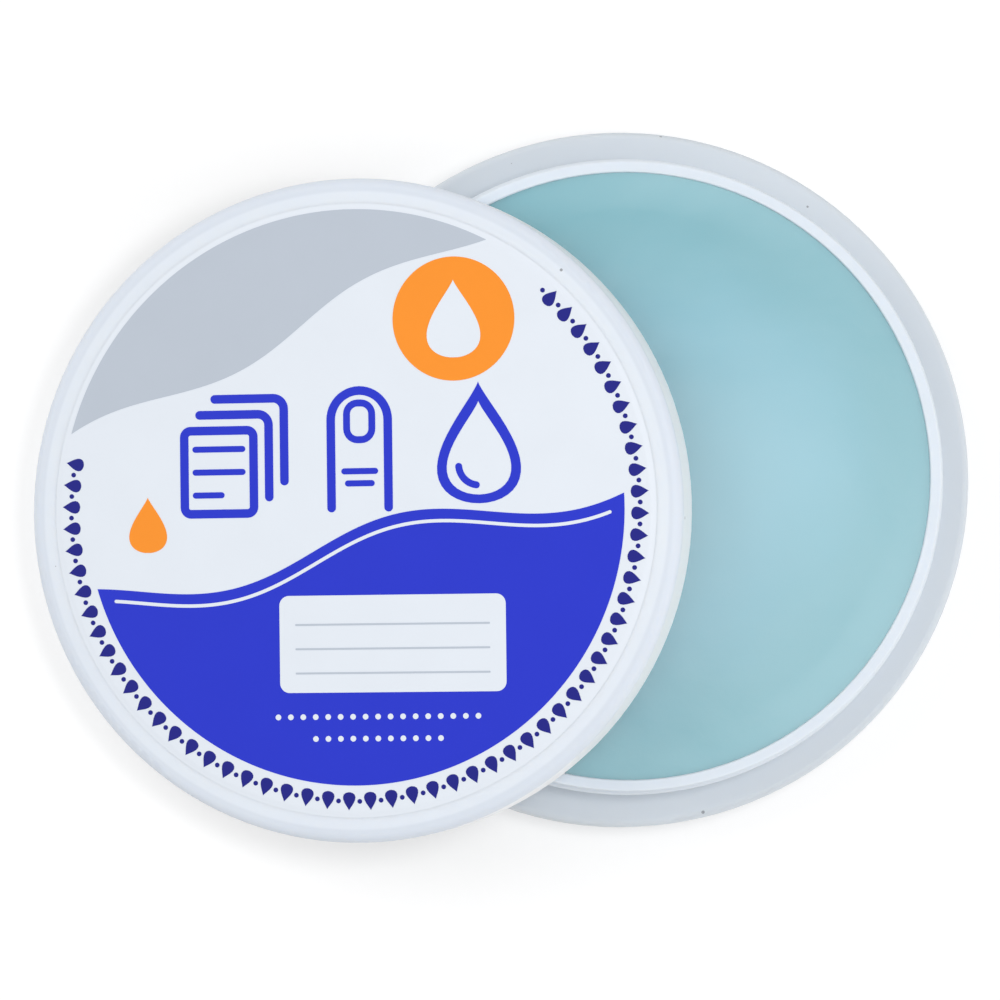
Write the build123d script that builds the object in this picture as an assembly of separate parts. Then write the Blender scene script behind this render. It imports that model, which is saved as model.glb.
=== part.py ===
from build123d import *
import math
import os

# A round desk pot of finger-moistening paste, open, with its press-on lid put down against it.
# Millimetres. The origin is on the pot's axis, on the table; +Z is up, and the lid leans at -X.

# Pot
rim_height = 9.4
rim_outer_radius = 26.25
neck_wall = 0.95
rim_rounding = 0.15
ledge_height = 4.8
ledge_width = 2.95
ledge_rounding = 0.6
skirt_wall = 1.0
foot_rounding = 0.3
floor_thickness = 1.1
base_recess = 2.6
cup_corner_radius = 0.9
mould_draft = 1.0  # degrees
gate_dimple_radius = 1.6
gate_dimple_depth = 0.35
gate_stub_radius = 0.5

# Paste
headspace = 0.5
paste_gap = 0.03
meniscus_height = 0.2
meniscus_reach = 4.0

# Lid
top_thickness = 1.0
lid_wall = 0.75
lid_edge_rounding = 0.8
mouth_rounding = 0.25
mouth_gap = 0.2
snap_clearance = 0.4
ceiling_corner_radius = 0.3

# The two snap beads
bead_height = 0.3
bead_half_width = 0.45
bead_below_rim = 1.6
bead_spacing = 1.15

# Label
label_margin = 1.3
label_thickness = 0.1

# Where the lid was put down
lid_offset = 21.8
lean_gap = 0.15
steepest_lean = math.radians(45)
lean_step = 1e-9  # radians

# Worked out from the sizes above
draft_slope = math.tan(math.radians(mould_draft))
cup_radius = rim_outer_radius - neck_wall
floor_top = base_recess + floor_thickness
paste_top = rim_height - headspace
ledge_radius = rim_outer_radius + ledge_width
foot_radius = ledge_radius + ledge_height * draft_slope
lid_inner_radius = rim_outer_radius + snap_clearance
lid_radius = lid_inner_radius + lid_wall
lid_depth = rim_height - ledge_height - mouth_gap
lid_height = lid_depth + top_thickness
pot_bead_height = rim_height - bead_below_rim
lid_bead_height = lid_depth - bead_below_rim - bead_spacing
label_radius = lid_radius - lid_edge_rounding - label_margin


def cup_radius_at(height):
    """The cup's inner radius, which narrows towards the floor by the mould's draft."""
    return cup_radius - (rim_height - height) * draft_slope


def turned(outline):
    """A solid of revolution about Z from a half section drawn as (radius, height)."""
    return revolve(make_face(Plane.XZ * outline), Axis.Z)


def bead_ring(radius, height, reach):
    """A half-round bead round Z, standing reach out from a wall of the given radius, or in if negative."""
    low = (radius, height - bead_half_width)
    high = (radius, height + bead_half_width)
    root = radius - reach
    crest = ThreePointArc(low, (radius + reach, height), high)
    seat = Polyline(high, (root, high[1]), (root, low[1]), low)
    return turned(Curve() + [crest, seat])


def make_pot_body():
    """Cup, neck, ledge and skirt as one moulding, with an open groove under the ledge."""
    groove_top = ledge_height - skirt_wall
    skirt_inside = ledge_radius - skirt_wall
    section = [
        ((0, floor_top), 0),
        ((cup_radius_at(floor_top), floor_top), cup_corner_radius),
        ((cup_radius, rim_height), rim_rounding),
        ((rim_outer_radius, rim_height), rim_rounding),
        ((rim_outer_radius, ledge_height), rim_rounding),
        ((ledge_radius, ledge_height), ledge_rounding),
        ((foot_radius, 0), foot_rounding),
        ((foot_radius - skirt_wall, 0), foot_rounding),
        ((skirt_inside, groove_top), foot_rounding),
        ((rim_outer_radius, groove_top), foot_rounding),
        ((rim_outer_radius, base_recess), foot_rounding),
        ((0, base_recess), 0),
    ]
    points = [point for point, _ in section]
    radii = [radius for _, radius in section]
    pot = turned(FilletPolyline(*points, radius=radii, close=True))
    pot += bead_ring(rim_outer_radius, pot_bead_height, bead_height)
    dimple = Pos(0, 0, base_recess) * Cylinder(
        gate_dimple_radius, gate_dimple_depth, align=(Align.CENTER, Align.CENTER, Align.MIN)
    )
    stub = Pos(0, 0, base_recess) * Cylinder(
        gate_stub_radius, gate_dimple_depth, align=(Align.CENTER, Align.CENTER, Align.MIN)
    )
    return pot - (dimple - stub)


def make_paste():
    """The fill, cast against the cup, with a low meniscus where it wets the wall."""
    wall_bottom = cup_radius_at(floor_top) - paste_gap
    wall_top = cup_radius_at(paste_top + meniscus_height) - paste_gap
    foot = wall_bottom - cup_corner_radius
    rise = floor_top + cup_corner_radius
    climb = wall_top - meniscus_reach
    outline = Curve() + [
        Line((0, floor_top), (foot, floor_top)),
        TangentArc((foot, floor_top), (wall_bottom, rise), tangent=(1, 0)),
        Line((wall_bottom, rise), (wall_top, paste_top + meniscus_height)),
        TangentArc((climb, paste_top), (wall_top, paste_top + meniscus_height), tangent=(1, 0)),
        Line((climb, paste_top), (0, paste_top)),
        Line((0, paste_top), (0, floor_top)),
    ]
    return turned(outline)


def make_lid_shell():
    """The lid, mouth down on its own Z = 0 plane: flat top that seals on the rim, skirt and inner bead."""
    section = [
        ((0, lid_depth), 0),
        ((lid_inner_radius, lid_depth), ceiling_corner_radius),
        ((lid_inner_radius, 0), mouth_rounding),
        ((lid_radius, 0), mouth_rounding),
        ((lid_radius, lid_height), lid_edge_rounding),
        ((0, lid_height), 0),
    ]
    points = [point for point, _ in section]
    radii = [radius for _, radius in section]
    lid = turned(FilletPolyline(*points, radius=radii, close=True))
    return lid + bead_ring(lid_inner_radius, lid_bead_height, -bead_height)


def make_lid_label():
    """The round label, stuck on the lid's flat top inside its rounded edge."""
    return Pos(0, 0, lid_height) * Cylinder(
        label_radius, label_thickness, align=(Align.CENTER, Align.CENTER, Align.MIN)
    )


def mouth_centre_height(tilt):
    """Height of the mouth's centre when the skirt's lowest edge stands on the table."""
    lowest = (lid_radius - mouth_rounding) * math.sin(tilt)
    return lowest + mouth_rounding * (1 - math.cos(tilt))


def room_over_rim(tilt):
    """Least height of the leaning lid over the rim: at its skirt's crossings, or under its top."""
    sine, cosine = math.sin(tilt), math.cos(tilt)
    centre = mouth_centre_height(tilt)
    spread = lid_offset**2 + lid_inner_radius**2 - rim_outer_radius**2
    reach = lid_offset * cosine
    crossing = spread / (reach + math.sqrt(reach**2 + spread * sine**2))
    skirt = centre + crossing * sine - rim_height
    nearest_rim = lid_offset - rim_outer_radius
    ceiling = centre + nearest_rim * sine / cosine + lid_depth / cosine - rim_height
    return min(skirt, ceiling)


def lean_angle():
    """The tilt, by halving, at which the lid's skirt comes to rest on the pot's rim."""
    low, high = 0.0, steepest_lean
    while high - low > lean_step:
        middle = (low + high) / 2
        if room_over_rim(middle) < lean_gap:
            low = middle
        else:
            high = middle
    return high


tilt = lean_angle()
lid_place = Pos(-lid_offset, 0, mouth_centre_height(tilt)) * Rot(0, -math.degrees(tilt), 0)

nodes = {
    "pot_body": make_pot_body(),
    "paste": make_paste(),
    "lid_shell": lid_place * make_lid_shell(),
    "lid_label": lid_place * make_lid_label(),
}

os.makedirs("parts", exist_ok=True)
for name, solid in nodes.items():
    export_step(solid, f"parts/{name}.step")

print(f"lid leans {math.degrees(tilt):.2f} degrees, closed height {rim_height + top_thickness:.1f} mm")
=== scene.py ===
"""Looks of an open pot of finger-moistening paste, with its press-on lid put down against the rim.

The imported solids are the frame. The pot and the lid keep their solids and get a moulded plastic finish.
The paste and the label are new surfaces worked out as whole arrays, and the label carries a print made of
thin closed ink films. Everything is in metres, +Z up, and the object stands at Z = 0.
"""

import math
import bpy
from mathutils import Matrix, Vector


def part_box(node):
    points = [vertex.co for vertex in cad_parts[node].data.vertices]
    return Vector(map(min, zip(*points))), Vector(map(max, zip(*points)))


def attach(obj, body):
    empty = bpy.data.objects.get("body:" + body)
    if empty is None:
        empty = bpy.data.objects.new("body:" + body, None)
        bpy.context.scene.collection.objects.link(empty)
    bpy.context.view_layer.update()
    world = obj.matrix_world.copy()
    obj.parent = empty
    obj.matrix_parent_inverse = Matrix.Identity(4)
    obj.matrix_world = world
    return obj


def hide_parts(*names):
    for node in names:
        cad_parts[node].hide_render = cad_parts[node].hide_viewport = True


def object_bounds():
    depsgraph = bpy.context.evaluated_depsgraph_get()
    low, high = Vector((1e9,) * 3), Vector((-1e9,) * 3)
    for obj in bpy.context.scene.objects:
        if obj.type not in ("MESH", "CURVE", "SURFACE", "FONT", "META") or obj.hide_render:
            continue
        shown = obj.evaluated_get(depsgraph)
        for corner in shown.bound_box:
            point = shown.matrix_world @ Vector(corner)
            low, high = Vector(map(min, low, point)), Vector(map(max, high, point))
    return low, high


bl_info = {
    "name": "Finger moistener",
    "version": (1, 0, 0),
    "blender": (4, 5, 0),
    "location": "View3D > Sidebar > Moistener",
    "description": "Finishes an open pot of moistening paste and its labelled lid on a white stage",
    "category": "Object",
}

import bpy
import numpy as np
from bpy.props import FloatProperty, FloatVectorProperty, PointerProperty
from mathutils import Matrix, Vector

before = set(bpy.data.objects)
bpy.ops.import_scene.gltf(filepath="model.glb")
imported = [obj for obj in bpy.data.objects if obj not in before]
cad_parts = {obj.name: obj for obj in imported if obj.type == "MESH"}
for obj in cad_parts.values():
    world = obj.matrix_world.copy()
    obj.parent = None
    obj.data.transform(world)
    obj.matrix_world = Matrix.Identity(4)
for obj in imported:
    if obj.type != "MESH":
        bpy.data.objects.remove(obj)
cad_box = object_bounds()

MM = 0.001
SHARP_ANGLE = math.radians(35)
TURNS = 256  # steps round the axis of a turned piece

# Where the mouldings take painted shade and painted light, and how far their rubbed edges reach
# Painted shade: below about half its height the pot is painted darker, on its ledge and skirt
SKIRT_SHADE_BAND = (0.62, 0.52)  # shares of the pot's height
# Painted shade: within this band the lid is painted darker in a ring at its rounded edge
LID_EDGE_SHADE_BAND = (1.25 * MM, 0.95 * MM)  # inwards from the lid's side
# Painted light: below this band the lid's thin skirt is painted lighter than the top it is moulded with
LID_SKIRT_LIGHT_BAND = (0.5 * MM, 1.2 * MM)  # down from the lid's top
RIM_RUB = 1.2 * MM
LID_RUB = 1.4 * MM

# How much clouds, rubbing, lint and grain change a finish
PLASTIC_CLOUDS = 0.10  # how much rougher a finish is where its clouds are thickest
PASTE_CLOUDS = 0.04
FILM_CLOUDS = 0.12
RUB_SHINE = 0.10  # how much less rough the plastic is where it is rubbed
RUB_PATCHES = (0.42, 0.62)  # values of the noise between which a rubbed patch comes up
LINT_COVER = 0.75  # share of the plastic's colour that a speck hides
LINT_SIZE = (0.04, 0.11)  # least and greatest radius of a speck, in shares of its cell
SLOW_GRAIN = 0.13  # scale of the slower grain, as a share of the fine one's

# The set surface of the paste, in shares of the cup's radius
CROWN_PLACE = (0.43, -0.07)
CROWN_SQUEEZE = 1.3
CROWN_SPREAD = 0.32
RIPPLES = ((3.1, 1.2, 0.4, 1.0), (-2.3, 4.4, 1.9, 0.7), (5.2, 3.7, 4.0, 0.5))  # along X and Y, phase, share
CLIMBS = ((80, 28), (-48, 30))  # places on the wall and their spread, in degrees
CLIMB_POWER = 1.6
WALL_TINT = (0.75, 1.2)  # where the colour at the wall takes over
WALL_TINT_WANDER = 0.5

# The label's film and its ink
FILM_EDGE_FALL = 0.9  # share of the film's thickness
INK_SUNK = 0.5  # how deep an ink film reaches into what it is printed on, in thicknesses of ink
INK_SHINE = 0.03  # how much less rough the ink is than the bare film
FINE_STROKE = 0.7  # the thinner lines of a picture, in shares of its stroke
INNER_STROKE = 0.8
STROKE_END = math.radians(84)  # how far the round end of a line goes on each side, just short of its tip

# Places and small sizes of the print. A place is right and up from the label's centre
SHEETS_PLACE = (-10.0 * MM, 4.6 * MM)
FINGER_PLACE = (0.6 * MM, 5.2 * MM)
DROP_PLACE = (10.6 * MM, 5.4 * MM)
ROUNDEL_PLACE = (8.6 * MM, 15.6 * MM)
SMALL_DROP_PLACE = (-17.4 * MM, -1.0 * MM)
PANEL_PLACE = (3.2 * MM, -11.0 * MM)
PANEL_CORNER = 0.8 * MM
RULE_LEVELS = (1.6 * MM, -0.4 * MM, -2.4 * MM)  # from the panel's middle
RULE_MARGIN = 1.4 * MM
RULE_WIDTH = 0.16 * MM
DOT_ROWS = ((-17.0 * MM, 17), (-18.8 * MM, 11))  # level and count
DOTS_MIDDLE = 1.92 * MM
DOT_PITCH = 1.05 * MM
DOT_RADIUS = 0.24 * MM

# The two fields with wavy edges, and the thin line that follows the lower one
FIELD_WAVE = {"level": -2.6 * MM, "swell": 1.5 * MM, "span": 30 * MM, "shift": -4 * MM}
FIELD_LEAN = math.radians(12)
FIELD_MARGIN = 2.65 * MM
CREST_WAVE = {"level": 15.6 * MM, "swell": 1.0 * MM, "span": 26 * MM, "shift": 3 * MM}
CREST_LEAN = math.radians(26)
CREST_MARGIN = 0.5 * MM
LINE_DROP = 1.0 * MM
LINE_MARGIN = 1.2 * MM
LINE_WIDTH = 0.28 * MM

# The ring of marks, from the left round the bottom to the upper right
RING_START = math.radians(80)  # from the top to the left
RING_SWEEP = math.radians(240)
RING_PAIRS = 56
RING_MARGIN = 1.35 * MM
RING_DOT = 0.2 * MM

# Floor, lamps and camera
FLOOR_DROP = 0.05 * MM
RIGHT_SOFTBOX_PLACE = (1.1, -0.7, 0.62)
LEFT_SOFTBOX_PLACE = (-0.95, 0.7, 0.8)
SOFTBOX_WIDTH = 1.2
LAMP_PLACE = (39 * MM, 3 * MM, 250 * MM)
LAMP_WIDTH = 60 * MM
CAMERA_AIM = (-0.65 * MM, -0.59 * MM, 8.0 * MM)  # from the middle of the object's length
SENSOR_WIDTH = 36.0


# Settings

def colour(name, description, default):
    """A colour setting in linear light."""
    return FloatVectorProperty(
        name=name, description=description, subtype="COLOR", size=3, min=0, max=1, default=default
    )


def length(name, description, default):
    """A length setting in metres."""
    return FloatProperty(
        name=name, description=description, unit="LENGTH", precision=5, min=0, default=default
    )


def angle(name, description, degrees):
    """An angle setting."""
    return FloatProperty(name=name, description=description, subtype="ANGLE", default=math.radians(degrees))


def fraction(name, description, default):
    """A setting from 0 to 1."""
    return FloatProperty(name=name, description=description, subtype="FACTOR", min=0, max=1, default=default)


def power(name, description, watts):
    """A lamp's power setting."""
    return FloatProperty(name=name, description=description, subtype="POWER", min=0, default=watts)


class PlasticSettings(bpy.types.PropertyGroup):
    """The moulded plastic of the pot and the lid."""

    rim_colour: colour("Rim", "Colour of the pot's rim and cup", (0.745, 0.804, 0.875))
    # Painted shade: the pot's lower ledge and skirt are painted darker than its rim
    skirt_shade_colour: colour("Skirt", "Colour of the pot's thin ledge and skirt", (0.68, 0.73, 0.78))
    lid_colour: colour("Lid", "Colour of the lid's top", (0.80, 0.85, 0.93))
    # Painted shade: the lid's rounded edge is painted darker than its top
    lid_edge_shade_colour: colour("Lid edge", "Colour of the lid's rounded edge", (0.735, 0.786, 0.862))
    # Painted light: the lid's thin skirt is painted lighter than the lid's own plastic
    lid_skirt_light_colour: colour("Lid skirt", "Colour of the lid's thin skirt", (0.925, 0.957, 1.0))
    lint_colour: colour("Lint", "Colour of the specks of lint", (0.22, 0.23, 0.25))
    roughness: fraction("Roughness", "Least roughness of the plastic where it isn't rubbed", 0.46)
    depth: length("Translucency", "How far light travels inside the plastic", 0.4 * MM)
    grain: length("Grain", "Size of the fine moulded grain", 0.35 * MM)
    relief: length("Relief", "Height of the grain", 0.004 * MM)


class PasteSettings(bpy.types.PropertyGroup):
    """The fill of the pot."""

    colour: colour("Paste", "Colour of the paste", (0.170, 0.443, 0.538))
    wall_colour: colour("At the wall", "Colour of the paste near the wall", (0.156, 0.413, 0.48))
    roughness: fraction("Roughness", "Least roughness of the paste", 0.277)
    depth: length("Translucency", "How far light travels inside the paste", 0.8 * MM)
    relief: length("Relief", "Height of the grain", 0.006 * MM)
    crown: length("Crown", "Height of the low crown of the set surface", 0.08 * MM)
    swell: length("Swell", "Height of the soft swells on the set surface", 0.03 * MM)
    meniscus: length("Meniscus", "How far the paste climbs the wall at most", 0.12 * MM)
    reach: length("Meniscus reach", "How far from the wall the paste begins to climb", 3.2 * MM)
    gap: length("Gap", "The packed paste's gap to the wall, which the fill closes", 0.03 * MM)
    corner: length("Corner", "Rounding where the cup's wall meets its floor", 0.9 * MM)
    draft: angle("Draft", "Lean of the cup's wall", 1.0)


class LabelSettings(bpy.types.PropertyGroup):
    """The film label and its print."""

    film: colour("Film", "Colour of the bare film", (0.80, 0.85, 0.92))
    blue: colour("Blue", "Ink of the lower field and the pictures", (0.013, 0.030, 0.60))
    navy: colour("Navy", "Ink of the ring of marks", (0.004, 0.006, 0.22))
    grey: colour("Grey", "Ink of the upper field and the rules", (0.515, 0.57, 0.65))
    orange: colour("Orange", "Ink of the roundel and the small drop", (0.98, 0.30, 0.019))
    roughness: fraction("Roughness", "Least roughness of the bare film", 0.36)
    relief: length("Relief", "Height of the film's grain", 0.002 * MM)
    turn: angle("Turn", "How far the print is turned on the lid", 7.2)
    ink: length("Ink", "Thickness of one ink film", 0.02 * MM)
    edge: length("Edge", "How far the pressed edge of the film slopes down to the lid", 0.6 * MM)
    stroke: length("Stroke", "Width of the lines of the pictures", 0.72 * MM)
    picture: length("Picture", "Height of each picture", 10.0 * MM)
    roundel: length("Roundel", "Radius of the roundel", 5.1 * MM)
    roundel_drop: length("Roundel's drop", "Height of the pale drop on the roundel", 6.4 * MM)
    small_drop: length("Small drop", "Height of the small drop at the left", 4.6 * MM)
    panel: length("Panel", "Length of the pale panel to write on", 19.0 * MM)
    panel_height: length("Panel height", "Height of the pale panel to write on", 8.0 * MM)
    mark: length("Mark", "Height of each drop in the ring of marks", 1.5 * MM)


class StageSettings(bpy.types.PropertyGroup):
    """Floor, light and camera."""

    floor: length("Floor", "Radius of the floor", 2.0)
    floor_colour: colour("Floor colour", "Colour of the floor under the lamps", (0.68, 0.68, 0.68))
    floor_glow: colour("Floor glow", "White that the floor adds where it is seen", (0.40, 0.40, 0.40))
    distance: length("Distance", "From the camera to the middle of the picture", 450 * MM)
    width: length("Width", "Width of the picture at that distance", 83.2 * MM)
    lean: angle("Lean", "Lean of the view towards the lid", 3.76)
    front: angle("Front", "Lean of the view towards the front", 2.58)
    roll: angle("Roll", "Turn of the picture about the view", 7.76)
    right_power: power("Right softbox", "Power of the broad softbox at the right", 6.0)
    left_power: power("Left softbox", "Power of the broad softbox at the left", 5.9)
    lamp_power: power("Lamp", "Power of the small lamp close above the paste", 0.105)
    ambient: fraction("Ambient", "Strength of the light all round", 0.60)


class MoistenerSettings(bpy.types.PropertyGroup):
    """All settings of the object and its stage."""

    plastic: PointerProperty(type=PlasticSettings)
    paste: PointerProperty(type=PasteSettings)
    label: PointerProperty(type=LabelSettings)
    stage: PointerProperty(type=StageSettings)


# Places read from the frame

def node_points(name):
    """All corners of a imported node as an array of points."""
    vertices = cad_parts[name].data.vertices
    points = np.empty(len(vertices) * 3)
    vertices.foreach_get("co", points)
    return points.reshape(-1, 3)


class LabelPlane:
    """The label on the leaning lid: its centre, radius, half thickness and tilt, and the axes of its print.

    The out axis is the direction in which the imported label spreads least. The right and up axes lie in the
    label, turned about the out axis from the lid's own slope."""

    def __init__(self, turn=0.0):
        points = node_points("lid_label")
        self.centre = (points.min(axis=0) + points.max(axis=0)) / 2
        spread = points - self.centre
        out = np.linalg.svd(spread, full_matrices=False)[2][2]
        self.out = out * np.sign(out[2])
        across = np.array([0.0, 1.0, 0.0])
        slope = np.cross(across, self.out)
        self.right = math.cos(turn) * slope - math.sin(turn) * across
        self.up = math.sin(turn) * slope + math.cos(turn) * across
        self.half = np.abs(spread @ self.out).max()
        self.radius = np.hypot(spread @ self.right, spread @ self.up).max()
        self.tilt = math.asin(slope[2])

    def place(self, points):
        """Where points lie that are given as right, up and out from the middle of the label's top face."""
        axes = np.stack([self.right, self.up, self.out])
        return self.centre + self.half * self.out + points @ axes


# Meshes from whole arrays

def quads(grid):
    """The four corners of every cell of a grid of point numbers."""
    corners = grid[:-1, :-1], grid[:-1, 1:], grid[1:, 1:], grid[1:, :-1]
    return np.stack([corner.ravel() for corner in corners], axis=1)


def turned_solid(radius, height):
    """Closed solid of revolution: a profile from axis to axis, over the top first, carried round Z.

    Point (i, j) lies at radius i and at the angle of turn j. The height is one number for each i, or one
    for each i and j. The two ends of the profile are single points that close the poles with fans."""
    sweep = np.arange(TURNS) * (math.tau / TURNS)
    height = np.broadcast_to(height.reshape(len(radius), -1), (len(radius), TURNS))
    rings = np.stack([np.outer(radius, np.cos(sweep)), np.outer(radius, np.sin(sweep)), height], axis=-1)
    points = np.concatenate([rings[0, :1], rings[1:-1].reshape(-1, 3), rings[-1, :1]])
    ring = 1 + np.arange((len(radius) - 2) * TURNS).reshape(-1, TURNS)
    ring = np.concatenate([ring, ring[:, :1]], axis=1)
    first, last = ring[0], ring[-1]
    top = np.stack([np.zeros(TURNS, int), first[:-1], first[1:]], axis=1)
    bottom = np.stack([np.full(TURNS, len(points) - 1), last[1:], last[:-1]], axis=1)
    return points, [top, quads(ring)[:, ::-1], bottom]


def slab(flat, closed=False):
    """Closed film over a flat grid: the grid at heights 1 and 0, joined by walls along its edges.

    A closed grid joins its last column to its first, and so has an inner and an outer wall."""
    along = np.diff(flat, axis=1)[:-1]
    across = np.diff(flat, axis=0)[:, :-1]
    if (along[..., 0] * across[..., 1] - along[..., 1] * across[..., 0]).sum() < 0:
        flat = flat[::-1]
    rows, columns = flat.shape[:2]
    grid = np.arange(rows * columns).reshape(rows, columns)
    if closed:
        edges = [grid[0], grid[-1, ::-1]]
        grid = np.concatenate([grid, grid[:, :1]], axis=1)
    else:
        edges = [np.concatenate([grid[0], grid[1:, -1], grid[-1, -2::-1], grid[-2:0:-1, 0]])]
    under = rows * columns
    faces = [quads(grid), quads(grid)[:, ::-1] + under]
    for edge in edges:
        after = np.roll(edge, -1)
        faces.append(np.stack([edge, edge + under, after + under, after], axis=1))
    flat = flat.reshape(-1, 2)
    levels = [np.column_stack([flat, np.full(len(flat), level)]) for level in (1.0, 0.0)]
    return np.concatenate(levels), faces


def joined(solids):
    """Several solids as one set of points and faces."""
    points, faces, count = [], [], 0
    for more_points, more_faces in solids:
        points.append(more_points)
        faces += [group + count for group in more_faces]
        count += len(more_points)
    return np.concatenate(points), faces


def add_mesh(name, points, faces, material):
    """Puts arrays of points and faces into the mesh of a new object."""
    mesh = bpy.data.meshes.new(name)
    mesh.from_pydata(points.tolist(), [], [face for group in faces for face in group.tolist()])
    mesh.materials.append(material)
    holder = bpy.data.objects.new(name, mesh)
    bpy.context.scene.collection.objects.link(holder)
    return holder


def add_piece(name, points, faces, material, body):
    """Adds a smooth piece with sharp edges and lets it ride on a body."""
    piece = add_mesh(name, points, faces, material)
    piece.data.polygons.foreach_set("use_smooth", np.ones(len(piece.data.polygons), bool))
    piece.data.set_sharp_from_angle(angle=SHARP_ANGLE)
    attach(piece, body)
    return piece


# Shapes of the paste and the film

def wall_climb(turn):
    """The share of the climb at each angle round the axis: a bell-shaped bump at each place on the wall."""
    share = np.zeros_like(turn)
    for middle, spread in CLIMBS:
        away = (np.degrees(turn) - middle + 180) % 360 - 180
        share += np.exp(-((away / spread) ** 2))
    return share


def paste_swells(x, y, crown, swell):
    """Height of the set surface: a bell-shaped crown and a sum of sines, both dying out at the wall.

    X and Y are in shares of the cup's radius. The fade is 1 less the sixth power of the distance."""
    crown_x, crown_y = CROWN_PLACE
    mound = np.exp(-((x - crown_x) ** 2 + (CROWN_SQUEEZE * (y - crown_y)) ** 2) / CROWN_SPREAD)
    ripples = sum(share * np.sin(right * x + up * y + phase) for right, up, phase, share in RIPPLES)
    return (crown * mound + swell * ripples) * (1 - (x**2 + y**2) ** 3)


def fill_surface(settings, low, high):
    """Radius of each ring of the fill, and its height at each turn, from mid top to mid floor.

    The top is level, and near the wall it climbs by a power of the way there. The wall leans in by its draft
    and ends in a quarter circle at the floor. Swells and the uneven climb are added on the top alone."""
    wall = high.x + settings.gap
    flat = np.linspace(0, wall - settings.reach, 64)
    way = np.linspace(0, 1, 24)[1:]
    top = np.concatenate([flat, flat[-1] + settings.reach * way])
    climb = np.concatenate([np.zeros(len(flat)), settings.meniscus * way**CLIMB_POWER])
    foot = wall - (high.z - low.z - settings.corner) * math.tan(settings.draft)
    turn = np.linspace(0, math.pi / 2, 9)
    corner_radius = foot - settings.corner * (1 - np.cos(turn))
    corner_height = low.z + settings.corner * (1 - np.sin(turn))
    radius = np.concatenate([top, corner_radius, [0.0]])
    level = np.concatenate([np.full(len(top), high.z - settings.meniscus), corner_height, [low.z]])
    sweep = np.arange(TURNS) * (math.tau / TURNS)
    x = np.outer(top, np.cos(sweep)) / wall
    y = np.outer(top, np.sin(sweep)) / wall
    height = np.repeat(level[:, None], TURNS, axis=1)
    height[:len(top)] += paste_swells(x, y, settings.crown, settings.swell)
    height[:len(top)] += np.outer(climb, wall_climb(sweep))
    return radius, height


def film_profile(plane, edge):
    """Half section of the film: a flat top, an edge that falls as a smooth step, and a flat underside."""
    thickness = 2 * plane.half
    share = np.linspace(0, 1, 9)
    fall = FILM_EDGE_FALL * thickness * share**2 * (3 - 2 * share)
    flat = np.linspace(0, plane.radius - 2 * edge, 24)
    under = np.linspace(plane.radius, 0, 3)
    radius = np.concatenate([flat, plane.radius - edge * (1 - share), under])
    height = np.concatenate([np.zeros(len(flat)), -fall, np.full(len(under), -thickness)])
    return radius, height


# Flat shapes for the print, as grids of points in the label's plane

def strip(first, second, across=1):
    """Straight lines from each point of one curve to the same point of another, cut into equal steps."""
    share = np.linspace(0, 1, across + 1)[:, None, None]
    return first * (1 - share) + second * share


def on_circle(turn):
    """Points on the unit circle at the given angles."""
    return np.stack([np.cos(turn), np.sin(turn)], axis=-1)


def disc(centre, radius, cells):
    """A disc without a pole: a square grid pressed round, each side drawn in by the other's square."""
    side = np.linspace(-1, 1, cells + 1)
    s, t = np.meshgrid(side, side)
    unit = np.stack([s * np.sqrt(1 - t**2 / 2), t * np.sqrt(1 - s**2 / 2)], axis=-1)
    return np.array(centre) + radius * unit


def arc(centre, radius, start, end, count):
    """Points on a circle from one angle to another."""
    return np.array(centre) + radius * on_circle(np.linspace(start, end, count))


def box_outline(centre, width, height, corner, steps=8):
    """A rectangle with round corners as one closed curve: a quarter circle about each corner's centre."""
    quarter = np.repeat(np.arange(4), steps)
    turn = (quarter + np.tile(np.linspace(0, 1, steps), 4)) * (math.pi / 2)
    side = np.sign(on_circle((quarter + 0.5) * math.pi / 2))
    middle = side * (np.array([width, height]) / 2 - corner)
    return np.array(centre) + middle + corner * on_circle(turn)


def box_ring(centre, width, height, corner, stroke):
    """The outline of a rectangle with round corners, as a closed band of one width."""
    inner = box_outline(centre, width - 2 * stroke, height - 2 * stroke, corner - stroke)
    return strip(box_outline(centre, width, height, corner), inner)


def box_panel(centre, width, height, corner, steps=8):
    """A filled rectangle with round corners: upright lines between a lower and an upper edge."""
    turn = np.linspace(0, math.pi / 2, steps)
    right = width / 2 - corner + corner * np.sin(turn)
    rise = height / 2 - corner + corner * np.cos(turn)
    u = np.concatenate([-right[::-1], right])
    v = np.concatenate([rise[::-1], rise])
    return np.array(centre) + strip(np.stack([u, -v], axis=-1), np.stack([u, v], axis=-1), across=4)


def drop_curve(turn, pinch=1.5):
    """Points of a drop 2 high: up is a cosine, and right is a sine that is pinched towards the tip."""
    return np.stack([np.sin(turn) * np.abs(np.sin(turn / 2)) ** pinch, np.cos(turn)], axis=-1)


def drop_outline(centre, height, count=48):
    """A drop as one closed curve."""
    turn = np.linspace(0, math.tau, count, endpoint=False)
    return np.array(centre) + height / 2 * drop_curve(turn)


def drop(centre, height, count=28, short=0.1):
    """A filled drop: level lines from its left side to its right, just short of the tip and of the foot."""
    turn = np.linspace(math.pi - short, short, count)
    return np.array(centre) + height / 2 * strip(drop_curve(-turn), drop_curve(turn), across=6)


def drop_ring(centre, height, stroke):
    """The outline of a drop: the band between it and a smaller drop that sits a stroke above its foot.

    The smaller drop is lower by more than two strokes, because the tip is sharp."""
    less = 3.2 * stroke
    inner = drop_outline(np.array(centre) + (0, stroke - less / 2), height - less)
    return strip(drop_outline(centre, height), inner)


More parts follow.
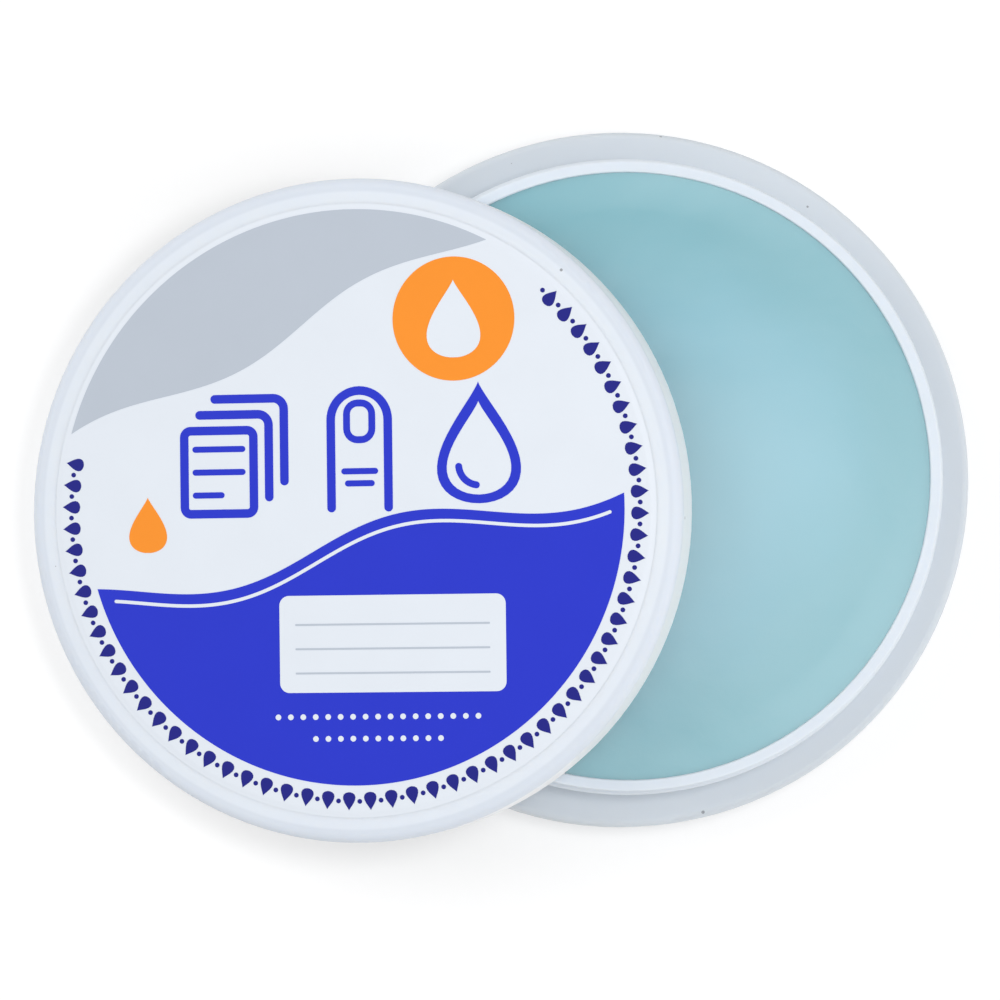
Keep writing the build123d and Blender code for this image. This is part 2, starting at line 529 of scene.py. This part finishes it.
def stroke_along(path, width):
    """A band of one width with round ends along an open path.

    Each point is set out to both sides, square to the path. Past each end, more points narrow the band
    along a half circle: the way on is a sine and the width a cosine."""
    way = np.gradient(path, axis=0)
    way /= np.linalg.norm(way, axis=1, keepdims=True)
    turn = np.linspace(0, STROKE_END, 6)[1:, None]
    before = path[0] - way[0] * np.sin(turn[::-1]) * width / 2
    beyond = path[-1] + way[-1] * np.sin(turn) * width / 2
    share = np.concatenate([np.cos(turn[::-1]), np.ones((len(path), 1)), np.cos(turn)])
    way = np.concatenate([np.tile(way[0], (len(turn), 1)), way, np.tile(way[-1], (len(turn), 1))])
    side = np.stack([-way[:, 1], way[:, 0]], axis=-1) * share * width / 2
    path = np.concatenate([before, path, beyond])
    return strip(path - side, path + side)


def line(start, end, width):
    """A straight band between two points."""
    return stroke_along(np.array([start, end], float), width)


def wave(u, level, swell, span, shift):
    """A level line that swells up and down as a sine of the given span."""
    return level + swell * np.sin((u - shift) * (math.tau / span))


def wave_inside(radius, shape, count=160):
    """The stretch of a wave that lies inside a circle, from its left to its right crossing."""
    tries = np.linspace(-radius, radius, 4001)
    inside = tries[np.hypot(tries, wave(tries, **shape)) <= radius]
    u = np.linspace(inside[0], inside[-1], count)
    return np.stack([u, wave(u, **shape)], axis=-1)


def field(radius, shape, below):
    """The part of a disc below or above a wave: straight lines from the wave to the rim of the disc."""
    edge = wave_inside(radius, shape)
    start, end = np.arctan2(edge[[0, -1], 1], edge[[0, -1], 0])
    if below:
        start = start % math.tau
        end = end + math.tau
    return strip(edge, arc((0, 0), radius, start, end, len(edge)), across=24)


def spun(flat, turn):
    """A flat grid turned about the label's centre."""
    cosine, sine = math.cos(turn), math.sin(turn)
    return flat @ np.array([[cosine, sine], [-sine, cosine]])


# Pictures and marks, as lists of slabs

def sheets_picture(centre, settings):
    """A sheet of paper with lines on it, and two more behind it, sized in shares of the picture's height."""
    stroke, height = settings.stroke, settings.picture
    step = 0.13 * height
    corner = 0.09 * height
    pitch = 0.19 * height
    sheet = np.array([0.66, 0.76]) * height
    front = np.array(centre) - step
    shapes = [slab(box_ring(front, *sheet, corner, stroke), closed=True)]
    start = front[0] - 0.2 * height
    for row, reach in enumerate((0.2, 0.2, 0.02)):
        v = front[1] + (1 - row) * pitch
        shapes.append(slab(line((start, v), (front[0] + reach * height, v), FINE_STROKE * stroke)))
    for behind in (1, 2):
        right, top = front + sheet / 2 + behind * step - stroke / 2
        left, bottom = front - sheet / 2 + behind * step + 0.3 * step
        bend = arc((right - corner, top - corner), corner, math.pi / 2, 0, 9)
        path = np.concatenate([[(left, top)], bend, [(right, bottom)]])
        shapes.append(slab(stroke_along(path, stroke)))
    return shapes


def finger_picture(centre, settings):
    """A fingertip with its nail and the crease of its last joint, sized in shares of the picture's height."""
    stroke, height = settings.stroke, settings.picture
    middle = np.array(centre)
    half = 0.24 * height
    foot = middle[1] - height / 2
    bend = arc(middle + (0, height / 2 - half - stroke / 2), half, math.pi, 0, 25)
    path = np.concatenate([[(middle[0] - half, foot)], bend, [(middle[0] + half, foot)]])
    nail_width, nail_height, nail_corner = np.array([0.27, 0.36, 0.12]) * height
    nail_middle = middle + (0, 0.21 * height)
    nail = box_ring(nail_middle, nail_width, nail_height, nail_corner, INNER_STROKE * stroke)
    shapes = [slab(stroke_along(path, stroke)), slab(nail, closed=True)]
    for fall, reach in ((0.2, 0.13), (0.3, 0.10)):
        v = middle[1] - fall * height
        ends = [(middle[0] + side * reach * height, v) for side in (-1, 1)]
        shapes.append(slab(line(*ends, FINE_STROKE * stroke)))
    return shapes


def drop_picture(centre, settings):
    """A drop in outline with the gleam inside it, sized in shares of the picture's height."""
    stroke, height = settings.stroke, settings.picture
    outline = drop_ring(centre, height, stroke)
    belly = np.array(centre) - (0, 0.18 * height)
    gleam = arc(belly, 0.17 * height, math.radians(185), math.radians(262), 12)
    return [slab(outline, closed=True), slab(stroke_along(gleam, INNER_STROKE * stroke))]


def rows_of_dots():
    """Two rows of fine dots below the panel, the lower one shorter."""
    shapes = []
    for level, count in DOT_ROWS:
        for place in np.arange(count) - (count - 1) / 2:
            shapes.append(slab(disc((DOTS_MIDDLE + place * DOT_PITCH, level), DOT_RADIUS, cells=4)))
    return shapes


def thin_line(radius):
    """A thin line inside the lower field that follows its wavy edge."""
    shape = FIELD_WAVE | {"level": FIELD_WAVE["level"] - LINE_DROP}
    path = wave_inside(radius - LINE_MARGIN, shape)
    return slab(spun(stroke_along(path, LINE_WIDTH), FIELD_LEAN))


def panel_rules(panel):
    """Thin ruled lines across the panel."""
    middle, level = PANEL_PLACE
    reach = panel / 2 - RULE_MARGIN
    rows = [level + rise for rise in RULE_LEVELS]
    return [slab(line((middle - reach, v), (middle + reach, v), RULE_WIDTH)) for v in rows]


def ring_of_marks(radius, height):
    """Small drops and dots by turns along a circle, each made at the top and turned into its place."""
    shapes = []
    pitch = RING_SWEEP / RING_PAIRS
    for pair in range(RING_PAIRS):
        turn = RING_START + pair * pitch
        shapes.append(slab(spun(drop((0.0, radius), height, count=10), turn)))
        shapes.append(slab(spun(disc((0.0, radius), RING_DOT, cells=4), turn + pitch / 2)))
    return shapes


# Nodes and shared effects

def add_node(tree, kind, inputs=None, **options):
    """Adds a node with its options. Each input is a value, or another node's output to link."""
    node = tree.nodes.new(kind)
    for name, value in options.items():
        setattr(node, name, value)
    for key, value in (inputs or {}).items():
        if isinstance(value, bpy.types.NodeSocket):
            tree.links.new(value, node.inputs[key])
        else:
            node.inputs[key].default_value = value
    return node


def calculate(tree, operation, *values):
    """The output of a Math node."""
    return add_node(tree, "ShaderNodeMath", dict(enumerate(values)), operation=operation).outputs[0]


def noise(tree, place, scale, detail):
    """A noise from 0 to 1, with its scale in waves to the metre."""
    inputs = {"Vector": place, "Scale": scale, "Detail": detail}
    return add_node(tree, "ShaderNodeTexNoise", inputs).outputs[0]


def spread_over(tree, value, low, high, new_low, new_high):
    """A value moved smoothly from one range to another and held at its ends."""
    inputs = {"Value": value, "From Min": low, "From Max": high, "To Min": new_low, "To Max": new_high}
    node = add_node(tree, "ShaderNodeMapRange", inputs, interpolation_type="SMOOTHSTEP")
    return node.outputs["Result"]


def blend_colours(tree, share, first, second):
    """Two colours mixed by a share."""
    node = add_node(tree, "ShaderNodeMix", {0: share, 6: first, 7: second}, data_type="RGBA")
    return node.outputs[2]


def size_of(tree, vector):
    """The length of a vector."""
    return add_node(tree, "ShaderNodeVectorMath", {0: vector}, operation="LENGTH").outputs["Value"]


def height_of(tree, place):
    """How high a place lies."""
    return add_node(tree, "ShaderNodeSeparateXYZ", {0: place}).outputs[2]


def distance_from_axis(tree, place):
    """How far a place lies from the Z axis."""
    across = add_node(tree, "ShaderNodeVectorMath", {0: place, 1: (1.0, 1.0, 0.0)}, operation="MULTIPLY")
    return size_of(tree, across.outputs[0])


def group_named(name, inputs, outputs, fill):
    """A shader node group with named sockets, made on first use. Fill adds its nodes."""
    group = bpy.data.node_groups.get(name)
    if group:
        return group
    group = bpy.data.node_groups.new(name, "ShaderNodeTree")
    for socket, kind in inputs.items():
        group.interface.new_socket(socket, in_out="INPUT", socket_type=f"NodeSocket{kind}")
    for socket, kind in outputs.items():
        group.interface.new_socket(socket, in_out="OUTPUT", socket_type=f"NodeSocket{kind}")
    source = group.nodes.new("NodeGroupInput").outputs
    target = group.nodes.new("NodeGroupOutput").inputs
    for socket, value in fill(group, source).items():
        group.links.new(value, target[socket])
    return group


def add_group(tree, group, inputs):
    """Places a node group in a material and returns its outputs."""
    return add_node(tree, "ShaderNodeGroup", inputs, node_tree=group).outputs


def mottle_group():
    """Soft cloudiness: a broad noise lightens and darkens a colour by an amount."""

    def fill(group, source):
        cloud = noise(group, source["Vector"], source["Scale"], detail=3.0)
        swing = calculate(group, "MULTIPLY_ADD", cloud, 2.0, -1.0)
        share = calculate(group, "MULTIPLY_ADD", swing, source["Amount"], 1.0)
        shade = {0: source["Color"], "Scale": share}
        tint = add_node(group, "ShaderNodeVectorMath", shade, operation="SCALE")
        return {"Color": tint.outputs[0], "Value": cloud}

    inputs = {"Vector": "Vector", "Color": "Color", "Scale": "Float", "Amount": "Float"}
    return group_named("soft_mottle", inputs, {"Color": "Color", "Value": "Float"}, fill)


def grain_group():
    """Fine surface grain as a height: a quick noise, and a slower one added by its waviness."""

    def fill(group, source):
        fine = noise(group, source["Vector"], source["Scale"], detail=2.0)
        slower = calculate(group, "MULTIPLY", source["Scale"], SLOW_GRAIN)
        broad = noise(group, source["Vector"], slower, detail=1.0)
        return {"Height": calculate(group, "MULTIPLY_ADD", broad, source["Waviness"], fine)}

    inputs = {"Vector": "Vector", "Scale": "Float", "Waviness": "Float"}
    return group_named("fine_grain", inputs, {"Height": "Float"}, fill)


def speck_group():
    """A few specks of lint: a small dot in each cell of a cellular pattern, kept only in the rare cells.

    A cell is rare if the red of its random colour is high. Its green sets the size of the dot."""

    def fill(group, source):
        pattern = {"Vector": source["Vector"], "Scale": source["Scale"]}
        cells = add_node(group, "ShaderNodeTexVoronoi", pattern).outputs
        pick = add_node(group, "ShaderNodeSeparateColor", {"Color": cells["Color"]}).outputs
        rare = calculate(group, "GREATER_THAN", pick[0], source["Rarity"])
        least, greatest = LINT_SIZE
        size = calculate(group, "MULTIPLY_ADD", pick[1], greatest - least, least)
        dot = calculate(group, "LESS_THAN", cells["Distance"], size)
        return {"Mask": calculate(group, "MULTIPLY", rare, dot)}

    inputs = {"Vector": "Vector", "Scale": "Float", "Rarity": "Float"}
    return group_named("lint_specks", inputs, {"Mask": "Float"}, fill)


def rub_group():
    """Handling on a round edge: near a circle of given radius and height about Z, broken up by noise."""

    def fill(group, source):
        aside = calculate(group, "SUBTRACT", distance_from_axis(group, source["Vector"]), source["Radius"])
        above = calculate(group, "SUBTRACT", height_of(group, source["Vector"]), source["Height"])
        offset = add_node(group, "ShaderNodeCombineXYZ", {0: aside, 1: above}).outputs[0]
        share = calculate(group, "DIVIDE", size_of(group, offset), source["Reach"])
        near = spread_over(group, share, 0.0, 1.0, 1.0, 0.0)
        cloud = noise(group, source["Vector"], scale=700.0, detail=4.0)
        patch = spread_over(group, cloud, *RUB_PATCHES, 0.0, 1.0)
        return {"Mask": calculate(group, "MULTIPLY", near, patch)}

    inputs = {"Vector": "Vector", "Radius": "Float", "Height": "Float", "Reach": "Float"}
    return group_named("edge_rub", inputs, {"Mask": "Float"}, fill)


# Finishes

def rgba(setting):
    """A colour setting as four numbers."""
    return (*setting, 1.0)


def empty_material(name):
    """A material and its empty node tree."""
    material = bpy.data.materials.new(name)
    material.use_nodes = True
    material.node_tree.nodes.clear()
    return material, material.node_tree


def new_finish(name):
    """A material with one Principled surface, and the object coordinates that its patterns read."""
    material, tree = empty_material(name)
    surface = tree.nodes.new("ShaderNodeBsdfPrincipled")
    add_node(tree, "ShaderNodeOutputMaterial", {"Surface": surface.outputs[0]})
    place = tree.nodes.new("ShaderNodeTexCoord").outputs["Object"]
    return material, tree, surface.inputs, place


def set_grain(tree, sockets, place, scale, waviness, relief):
    """Links fine grain of a given height to the surface's normal through a Bump node."""
    pattern = {"Vector": place, "Scale": scale, "Waviness": waviness}
    grain = add_group(tree, grain_group(), pattern)["Height"]
    bump = add_node(tree, "ShaderNodeBump", {"Height": grain, "Distance": relief, "Strength": 1.0})
    tree.links.new(bump.outputs[0], sockets["Normal"])


def set_depth(sockets, weight, radius, scale):
    """Lets light into the surface, by a share, a reach for each colour and a scale."""
    sockets["Subsurface Weight"].default_value = weight
    sockets["Subsurface Radius"].default_value = radius
    sockets["Subsurface Scale"].default_value = scale


def plastic_finish(name, base, shade_and_light_bands, edge, centre=(0.0, 0.0, 0.0), tilt=0.0):
    """Smooth moulded plastic: cloudy white, fine grain, a rubbed edge and a few specks of lint.

    Its patterns read places from a centre on the moulding's axis, along its own tilted axes. Each band is a
    colour of painted shade where it is darker and of painted light where it is lighter, the measure that it
    follows, and the two values between which it takes over. The edge is the radius and the height of the
    rubbed circle, and how far the rubbing reaches."""
    settings = bpy.context.scene.moistener.plastic
    material, tree, sockets, place = new_finish(name)
    mapping = {"Vector": place, "Location": centre, "Rotation": (0.0, -tilt, 0.0)}
    place = add_node(tree, "ShaderNodeMapping", mapping, vector_type="TEXTURE").outputs[0]
    shade = rgba(base)
    # Each band paints shade where its colour is darker, and light where it is lighter, over the plastic's own
    # colour
    for tint, measure, start, end in shade_and_light_bands:
        share = spread_over(tree, measure(tree, place), start, end, 0.0, 1.0)
        shade = blend_colours(tree, share, shade, rgba(tint))
    mottle = add_group(tree, mottle_group(), {"Vector": place, "Color": shade, "Scale": 55.0, "Amount": 0.03})
    specks = add_group(tree, speck_group(), {"Vector": place, "Scale": 700.0, "Rarity": 0.93})["Mask"]
    speck_share = calculate(tree, "MULTIPLY", specks, LINT_COVER)
    tinted = blend_colours(tree, speck_share, mottle["Color"], rgba(settings.lint_colour))
    tree.links.new(tinted, sockets["Base Color"])
    radius, height, reach = edge
    circle = {"Vector": place, "Radius": radius, "Height": height, "Reach": reach}
    rub = add_group(tree, rub_group(), circle)["Mask"]
    rough = calculate(tree, "MULTIPLY_ADD", mottle["Value"], PLASTIC_CLOUDS, settings.roughness)
    rough = calculate(tree, "MULTIPLY_ADD", rub, -RUB_SHINE, rough)
    tree.links.new(rough, sockets["Roughness"])
    set_grain(tree, sockets, place, scale=1 / settings.grain, waviness=1.5, relief=settings.relief)
    set_depth(sockets, weight=0.7, radius=(1.0, 0.95, 0.9), scale=settings.depth)
    sockets["IOR"].default_value = 1.49
    return material


def pot_finish(settings):
    """The pot's plastic: the thin ledge and skirt are painted darker as painted shade, and the rim is rubbed
    inside.
    """
    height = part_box("pot_body")[1].z
    shade_and_light_bands = [(settings.skirt_shade_colour, height_of, *(share * height for share in SKIRT_SHADE_BAND))]
    edge = (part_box("paste")[1].x, height, RIM_RUB)
    return plastic_finish("pot_plastic", settings.rim_colour, shade_and_light_bands, edge)


def lid_finish(settings):
    """The lid's plastic: the rounded edge, which is rubbed, is painted darker as painted shade, and the thin
    skirt is painted lighter as painted light.
    """
    plane = LabelPlane()
    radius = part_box("lid_shell")[1].y
    top = -plane.half
    shade_and_light_bands = [
        (settings.lid_edge_shade_colour, distance_from_axis, *(radius - inset for inset in LID_EDGE_SHADE_BAND)),
        (settings.lid_skirt_light_colour, height_of, *(top - depth for depth in LID_SKIRT_LIGHT_BAND)),
    ]
    edge = (radius, top, LID_RUB)
    return plastic_finish("lid_plastic", settings.lid_colour, shade_and_light_bands, edge, plane.centre, plane.tilt)


def paste_finish(settings):
    """Firm greasy paste: pale and cloudy, with light inside it and a soft uneven sheen."""
    material, tree, sockets, place = new_finish("moistening_paste")
    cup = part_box("paste")[1].x
    cloud = noise(tree, place, scale=70.0, detail=2.0)
    away = calculate(tree, "MULTIPLY_ADD", cloud, WALL_TINT_WANDER * cup, distance_from_axis(tree, place))
    share = spread_over(tree, away, *(limit * cup for limit in WALL_TINT), 0.0, 1.0)
    shade = blend_colours(tree, share, rgba(settings.colour), rgba(settings.wall_colour))
    mottle = add_group(tree, mottle_group(), {"Vector": place, "Color": shade, "Scale": 60.0, "Amount": 0.04})
    tree.links.new(mottle["Color"], sockets["Base Color"])
    rough = calculate(tree, "MULTIPLY_ADD", mottle["Value"], PASTE_CLOUDS, settings.roughness)
    tree.links.new(rough, sockets["Roughness"])
    set_grain(tree, sockets, place, scale=1400.0, waviness=6.0, relief=settings.relief)
    set_depth(sockets, weight=0.4, radius=(0.7, 1.0, 1.0), scale=settings.depth)
    sockets["IOR"].default_value = 1.6
    return material


def film_finish(name, base, settings, shine=0.0):
    """Satin printed film: an even colour with the faint unevenness of print, and a fine surface."""
    material, tree, sockets, place = new_finish(name)
    cloud = {"Vector": place, "Color": rgba(base), "Scale": 240.0, "Amount": 0.02}
    mottle = add_group(tree, mottle_group(), cloud)
    tree.links.new(mottle["Color"], sockets["Base Color"])
    rough = calculate(tree, "MULTIPLY_ADD", mottle["Value"], FILM_CLOUDS, settings.roughness - shine)
    tree.links.new(rough, sockets["Roughness"])
    set_grain(tree, sockets, place, scale=5200.0, waviness=1.5, relief=settings.relief)
    sockets["Specular IOR Level"].default_value = 0.3
    return material


# Floor, light and camera

def seen_directly(tree):
    """1 for rays from the camera, from gloss and through glass, 0 for rays that light the object."""
    path = tree.nodes.new("ShaderNodeLightPath").outputs
    gloss = calculate(tree, "MAXIMUM", path["Is Glossy Ray"], path["Is Transmission Ray"])
    return calculate(tree, "MAXIMUM", path["Is Camera Ray"], gloss)


def add_floor(settings):
    """A wide white disc that keeps the object's shadow and adds its own white to what the camera sees."""
    material, tree = empty_material("white_floor")
    paper = add_node(tree, "ShaderNodeBsdfDiffuse", {"Color": rgba(settings.floor_colour)})
    white = {"Color": rgba(settings.floor_glow), "Strength": seen_directly(tree)}
    glow = add_node(tree, "ShaderNodeEmission", white)
    both = add_node(tree, "ShaderNodeAddShader", {0: paper.outputs[0], 1: glow.outputs[0]})
    add_node(tree, "ShaderNodeOutputMaterial", {"Surface": both.outputs[0]})
    flat = disc((0.0, 0.0), settings.floor, cells=48)
    points = np.column_stack([flat.reshape(-1, 2), np.full(flat.size // 2, -FLOOR_DROP)])
    faces = quads(np.arange(len(points)).reshape(flat.shape[:2]))
    floor = add_mesh("floor", points, [faces], material)


def add_lamp(scene, name, place, size, watts):
    """A round flat lamp that faces the origin and stays out of the picture."""
    lamp = bpy.data.lights.new(name, "AREA")
    lamp.shape = "DISK"
    lamp.size = size
    lamp.energy = watts
    holder = bpy.data.objects.new(name, lamp)
    holder.location = place
    holder.rotation_euler = Vector(place).to_track_quat("Z", "Y").to_euler()
    holder.visible_camera = False
    scene.collection.objects.link(holder)


def add_light(scene, settings):
    """Light all round, white where it is seen, two softboxes and a small lamp above the paste."""
    world = bpy.data.worlds.new("white_room")
    world.use_nodes = True
    tree = world.node_tree
    background = tree.nodes["Background"]
    strength = spread_over(tree, seen_directly(tree), 0.0, 1.0, settings.ambient, 1.0)
    tree.links.new(strength, background.inputs["Strength"])
    background.inputs["Color"].default_value = (1.0, 1.0, 1.0, 1.0)
    scene.world = world
    add_lamp(scene, "right_softbox", RIGHT_SOFTBOX_PLACE, SOFTBOX_WIDTH, settings.right_power)
    add_lamp(scene, "left_softbox", LEFT_SOFTBOX_PLACE, SOFTBOX_WIDTH, settings.left_power)
    add_lamp(scene, "near_lamp", LAMP_PLACE, LAMP_WIDTH, settings.lamp_power)


def add_camera(scene, settings):
    """A long lens over the middle of the object, leaned a little to the lid and to the front."""
    low, high = cad_box
    target = Vector(((low.x + high.x) / 2, 0.0, 0.0)) + Vector(CAMERA_AIM)
    back = Vector((-math.tan(settings.lean), -math.tan(settings.front), 1.0)).normalized()
    up = Vector((math.sin(settings.roll), math.cos(settings.roll), 0.0))
    right = up.cross(back).normalized()
    axes = Matrix((right, back.cross(right), back)).transposed()
    camera = bpy.data.cameras.new("camera")
    camera.sensor_width = SENSOR_WIDTH
    camera.lens = SENSOR_WIDTH * settings.distance / settings.width
    holder = bpy.data.objects.new("camera", camera)
    holder.matrix_world = Matrix.Translation(target + back * settings.distance) @ axes.to_4x4()
    scene.collection.objects.link(holder)
    scene.camera = holder


# Operators

class MOISTENER_OT_mouldings(bpy.types.Operator):
    """Gives the pot and the lid their moulded plastic finish"""

    bl_idname = "moistener.mouldings"
    bl_label = "Finish the mouldings"

    def execute(self, context):
        settings = context.scene.moistener.plastic
        finishes = {"pot_body": pot_finish(settings), "lid_shell": lid_finish(settings)}
        for name, finish in finishes.items():
            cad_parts[name].material_slots[0].material = finish
        return {"FINISHED"}


class MOISTENER_OT_paste(bpy.types.Operator):
    """Fills the cup with paste that set with soft swells and climbed the wall a little"""

    bl_idname = "moistener.paste"
    bl_label = "Fill the pot"

    def execute(self, context):
        settings = context.scene.moistener.paste
        points, faces = turned_solid(*fill_surface(settings, *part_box("paste")))
        fill = add_piece("paste_fill", points, faces, paste_finish(settings), "pot")
        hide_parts("paste")
        return {"FINISHED"}


class MOISTENER_OT_label(bpy.types.Operator):
    """Sticks the round film label on the lid"""

    bl_idname = "moistener.label"
    bl_label = "Stick on the label"

    def execute(self, context):
        settings = context.scene.moistener.label
        plane = LabelPlane()
        points, faces = turned_solid(*film_profile(plane, settings.edge))
        finish = film_finish("bare_film", settings.film, settings)
        film = add_piece("label_film", plane.place(points), faces, finish, "lid")
        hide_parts("lid_label")
        return {"FINISHED"}


class MOISTENER_OT_print(bpy.types.Operator):
    """Prints the label: two fields, three pictures, a roundel, a panel to write on and a ring of marks"""

    bl_idname = "moistener.print"
    bl_label = "Print the label"

    def execute(self, context):
        settings = context.scene.moistener.label
        plane = LabelPlane(settings.turn)
        field_radius = plane.radius - FIELD_MARGIN
        blue = [
            slab(spun(field(field_radius, FIELD_WAVE, below=True), FIELD_LEAN)),
            *sheets_picture(SHEETS_PLACE, settings),
            *finger_picture(FINGER_PLACE, settings),
            *drop_picture(DROP_PLACE, settings),
        ]
        grey = [slab(spun(field(plane.radius - CREST_MARGIN, CREST_WAVE, below=False), CREST_LEAN))]
        orange = [
            slab(disc(ROUNDEL_PLACE, settings.roundel, cells=24)),
            slab(drop(SMALL_DROP_PLACE, settings.small_drop)),
        ]
        white = [
            slab(drop(ROUNDEL_PLACE, settings.roundel_drop)),
            slab(box_panel(PANEL_PLACE, settings.panel, settings.panel_height, PANEL_CORNER)),
            *rows_of_dots(),
            thin_line(field_radius),
        ]
        navy = ring_of_marks(plane.radius - RING_MARGIN, settings.mark)
        layers = [
            ("label_blue_print", blue, settings.blue, 0),
            ("label_grey_print", grey, settings.grey, 0),
            ("label_orange_print", orange, settings.orange, 0),
            ("label_navy_print", navy, settings.navy, 0),
            ("label_white_print", white, settings.film, 1),
            ("label_rule_print", panel_rules(settings.panel), settings.grey, 2),
        ]
        for name, shapes, ink, layer in layers:
            points, faces = joined(shapes)
            points[:, 2] = (layer - INK_SUNK + (1 + INK_SUNK) * points[:, 2]) * settings.ink
            finish = film_finish(name.replace("print", "ink"), ink, settings, INK_SHINE)
            add_piece(name, plane.place(points), faces, finish, "lid")
        return {"FINISHED"}


class MOISTENER_OT_stage(bpy.types.Operator):
    """Sets up the white floor, the soft light and the camera"""

    bl_idname = "moistener.stage"
    bl_label = "Set the stage"

    def execute(self, context):
        settings = context.scene.moistener.stage
        add_floor(settings)
        add_light(context.scene, settings)
        add_camera(context.scene, settings)
        context.scene.view_settings.view_transform = "Standard"
        return {"FINISHED"}


STEPS = (
    MOISTENER_OT_mouldings,
    MOISTENER_OT_paste,
    MOISTENER_OT_label,
    MOISTENER_OT_print,
    MOISTENER_OT_stage,
)


class MOISTENER_PT_panel(bpy.types.Panel):
    """Lists the settings and the steps in the sidebar"""

    bl_idname = "MOISTENER_PT_panel"
    bl_label = "Finger moistener"
    bl_space_type = "VIEW_3D"
    bl_region_type = "UI"
    bl_category = "Moistener"

    def draw(self, context):
        settings = context.scene.moistener
        for part in (settings.plastic, settings.paste, settings.label, settings.stage):
            box = self.layout.box()
            for name in part.__annotations__:
                box.prop(part, name)
        for step in STEPS:
            self.layout.operator(step.bl_idname)


CLASSES = (
    PlasticSettings,
    PasteSettings,
    LabelSettings,
    StageSettings,
    MoistenerSettings,
    *STEPS,
    MOISTENER_PT_panel,
)


def register():
    """Registers the classes and the scene's settings."""
    for item in CLASSES:
        bpy.utils.register_class(item)
    bpy.types.Scene.moistener = PointerProperty(type=MoistenerSettings)


def unregister():
    """Removes the scene's settings and the classes."""
    del bpy.types.Scene.moistener
    for item in reversed(CLASSES):
        bpy.utils.unregister_class(item)


def main():
    """Builds the looks in order."""
    register()
    bpy.ops.moistener.mouldings()
    bpy.ops.moistener.paste()
    bpy.ops.moistener.label()
    bpy.ops.moistener.print()
    bpy.ops.moistener.stage()


if __name__ == "__main__":
    main()
